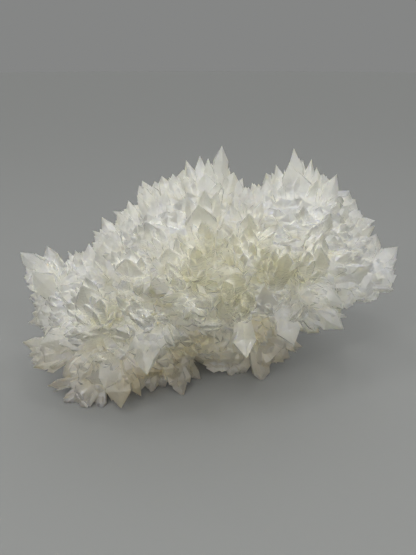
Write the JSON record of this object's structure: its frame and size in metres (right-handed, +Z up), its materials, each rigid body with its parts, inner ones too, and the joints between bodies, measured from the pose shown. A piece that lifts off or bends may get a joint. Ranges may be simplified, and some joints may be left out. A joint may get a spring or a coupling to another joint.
{
  "type": "aragonite sputnik cluster",
  "caption": "Cluster of pale pointed crystals radiating in sprays from a lumpy core, grown as one solid and resting on a small flat spot.",
  "frame": {"origin": "middle of the small flat spot that the cluster rests on", "axes": "+Z up from the surface it rests on, +X along its longest extent, -Y towards the side that shows"},
  "size_m": [0.144, 0.0961, 0.096],
  "materials": {
    "pale_crystal": "milky translucent crystal with glossy flat faces, creamy yellow in the recesses and tan underneath"
  },
  "bodies": {
    "root": {"crystal_cluster": "pale_crystal"}
  },
  "joints": []
}
